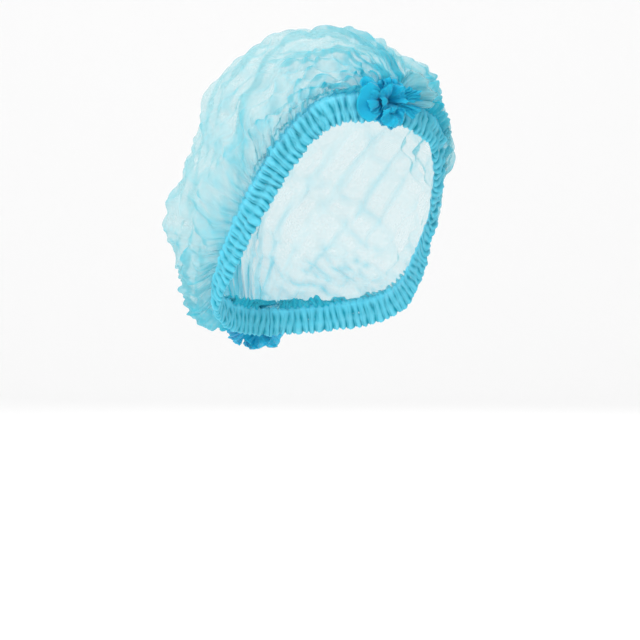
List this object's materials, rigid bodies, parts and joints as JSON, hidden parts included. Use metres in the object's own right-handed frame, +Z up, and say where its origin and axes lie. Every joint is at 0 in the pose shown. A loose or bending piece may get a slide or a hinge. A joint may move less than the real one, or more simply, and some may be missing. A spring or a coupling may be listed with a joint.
{
  "type": "disposable hairnet",
  "caption": "Worn clip cap of pleated see-through nonwoven, with gathered elastic hems and a welded bunch of pleats at the brow and at the nape.",
  "frame": {"origin": "the seat: the point at the top of the hollow where the crown of a head would rest, under the slack cloth of the top", "axes": "+Z up as it is worn, -Y towards the brow, +X towards the wearer's left"},
  "size_m": [0.1758, 0.2192, 0.2034],
  "materials": {
    "single_nonwoven": "thin pale blue-green spunbond nonwoven, matt",
    "gathered_nonwoven": "the same nonwoven gathered several layers deep",
    "bunched_nonwoven": "the same nonwoven pleated and welded many layers deep",
    "elastic_thread": "white covered elastic"
  },
  "bodies": {
    "root": {"crown": "single_nonwoven", "right_hem": "gathered_nonwoven", "left_hem": "gathered_nonwoven", "right_elastic": "elastic_thread", "left_elastic": "elastic_thread", "brow_bunch": "bunched_nonwoven", "nape_bunch": "bunched_nonwoven"}
  },
  "joints": []
}
